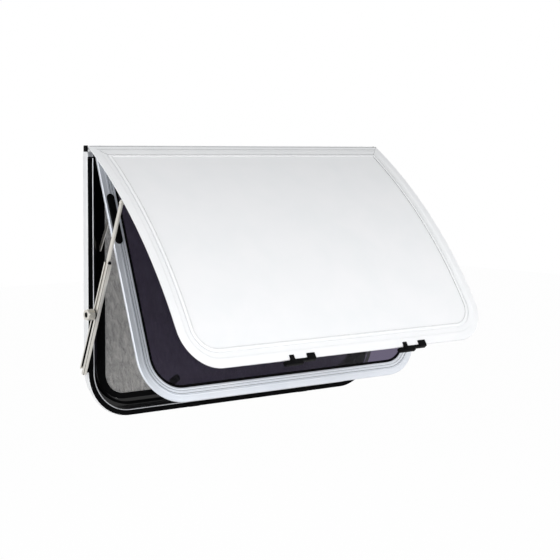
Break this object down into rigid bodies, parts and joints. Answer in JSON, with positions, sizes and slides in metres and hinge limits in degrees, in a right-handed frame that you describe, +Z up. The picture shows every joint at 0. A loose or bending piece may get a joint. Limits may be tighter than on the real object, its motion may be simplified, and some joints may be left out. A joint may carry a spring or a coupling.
{
  "type": "caravan window",
  "caption": "Top-hung caravan window: bowed white outer cover and tinted glazed sash, both propped open on stays over a fly screen in a wall frame.",
  "frame": {"origin": "on the back face of the wall flange, in the middle of the sill strip", "axes": "+X along the wall, -Y outdoors, +Y into the wall, +Z up"},
  "size_m": [0.921, 0.4482, 0.6115],
  "materials": {
    "white_paint": "smooth white coating on aluminium",
    "black_rubber": "matt black rubber",
    "bright_aluminium": "bright rolled aluminium",
    "satin_aluminium": "satin anodised aluminium",
    "black_plastic": "moulded black plastic",
    "grey_mesh": "grey woven insect mesh",
    "tinted_glass": "smoke tinted glazing",
    "stay_metal": "pale satin metal"
  },
  "bodies": {
    "frame": {"outer_frame": "white_paint", "cover_seal": "black_rubber", "bead_trim": "bright_aluminium", "inner_liner": "black_plastic", "sash_seal": "black_rubber", "screen_frame": "black_plastic", "fly_screen": "grey_mesh", "head_rail": "white_paint", "left_stay_foot": "black_plastic", "left_sash_track": "black_plastic", "right_stay_foot": "black_plastic", "right_sash_track": "black_plastic", "left_catch": "black_plastic", "right_catch": "black_plastic", "left_end_cap": "black_plastic", "right_end_cap": "black_plastic"},
    "cover": {"cover_frame": "white_paint", "cover_head_rail": "white_paint", "cover_panel": "white_paint", "left_latch": "black_plastic", "right_latch": "black_plastic", "left_stay_lug": "stay_metal", "right_stay_lug": "stay_metal"},
    "sash": {"sash_frame": "satin_aluminium", "sash_head_rail": "satin_aluminium", "glass_pane": "tinted_glass", "glass_gasket": "black_rubber", "sash_latch": "black_plastic", "left_sash_lug": "stay_metal", "left_stile_plate": "black_plastic", "right_sash_lug": "stay_metal", "right_stile_plate": "black_plastic"},
    "left_rod": {"left_stay_rod": "stay_metal", "left_stay_washer": "black_plastic", "left_stay_knob": "stay_metal"},
    "left_channel": {"left_stay_channel": "stay_metal", "left_stay_stop": "black_plastic"},
    "left_bar": {"left_sash_stay": "stay_metal"},
    "right_rod": {"right_stay_rod": "stay_metal", "right_stay_washer": "black_plastic", "right_stay_knob": "stay_metal"},
    "right_channel": {"right_stay_channel": "stay_metal", "right_stay_stop": "black_plastic"},
    "right_bar": {"right_sash_stay": "stay_metal"}
  },
  "joints": [
    {"name": "cover_hinge", "type": "hinge", "parent": "frame", "child": "cover", "pos_m": [0, -0.019, 0.589], "axis": [-1, 0, 0], "range_deg": [-41.4, 0]},
    {"name": "sash_hinge", "type": "hinge", "parent": "frame", "child": "sash", "pos_m": [0, -0.008, 0.5915], "axis": [-1, 0, 0], "range_deg": [-20.65, 0]},
    {"name": "left_stay_swing", "type": "hinge", "parent": "cover", "child": "left_rod", "pos_m": [-0.4266, -0.15277, 0.48291], "axis": [1, 0, 0], "range_deg": [-55.28, 0]},
    {"name": "left_stay_slide", "type": "slide", "parent": "left_rod", "child": "left_channel", "axis": [-0.0348, 0.3521, -0.9353], "range_m": [-0.08561, 0]},
    {"name": "left_sash_stay_swing", "type": "hinge", "parent": "sash", "child": "left_bar", "pos_m": [-0.3828, -0.04368, 0.46389], "axis": [1, 0, 0], "range_deg": [-47.68, 0]},
    {"name": "right_stay_swing", "type": "hinge", "parent": "cover", "child": "right_rod", "pos_m": [0.4266, -0.15277, 0.48291], "axis": [1, 0, 0], "range_deg": [-55.28, 0]},
    {"name": "right_stay_slide", "type": "slide", "parent": "right_rod", "child": "right_channel", "axis": [0.0348, 0.3521, -0.9353], "range_m": [-0.08561, 0]},
    {"name": "right_sash_stay_swing", "type": "hinge", "parent": "sash", "child": "right_bar", "pos_m": [0.3828, -0.04368, 0.46389], "axis": [1, 0, 0], "range_deg": [-47.68, 0]}
  ],
  "couplings": [
    {"joint": "sash_hinge", "follows": "cover_hinge", "ratio": 0.49758},
    {"joint": "left_stay_swing", "follows": "cover_hinge", "ratio": 1.3341},
    {"joint": "left_stay_slide", "follows": "cover_hinge", "m_per_rad": 0.11821},
    {"joint": "left_sash_stay_swing", "follows": "cover_hinge", "ratio": 1.1504},
    {"joint": "right_stay_swing", "follows": "cover_hinge", "ratio": 1.3341},
    {"joint": "right_stay_slide", "follows": "cover_hinge", "m_per_rad": 0.11821},
    {"joint": "right_sash_stay_swing", "follows": "cover_hinge", "ratio": 1.1504}
  ]
}
